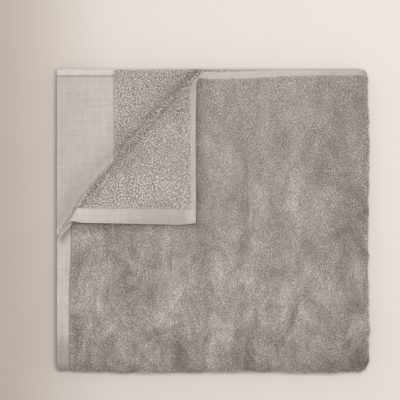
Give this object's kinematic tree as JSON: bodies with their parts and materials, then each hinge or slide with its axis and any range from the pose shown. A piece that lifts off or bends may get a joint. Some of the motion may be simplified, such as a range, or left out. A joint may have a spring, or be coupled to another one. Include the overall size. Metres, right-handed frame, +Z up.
{
  "type": "folded bath towel",
  "caption": "Terry bath towel folded into a flat square stack, with flat-woven hems and the top layer's corner turned back.",
  "frame": {"origin": "middle of the folded towel's underside, on the surface that it lies on", "axes": "+Z up through the layers; +X along the folded width, towards the crosswise folds; +Y towards the free side hems, away from the lengthwise fold"},
  "size_m": [0.3607, 0.3512, 0.0415],
  "materials": {
    "terry_cloth": "looped cotton pile in warm grey, with paler flat-woven hems and end band"
  },
  "bodies": {
    "root": {"bath_towel": "terry_cloth"}
  },
  "joints": []
}
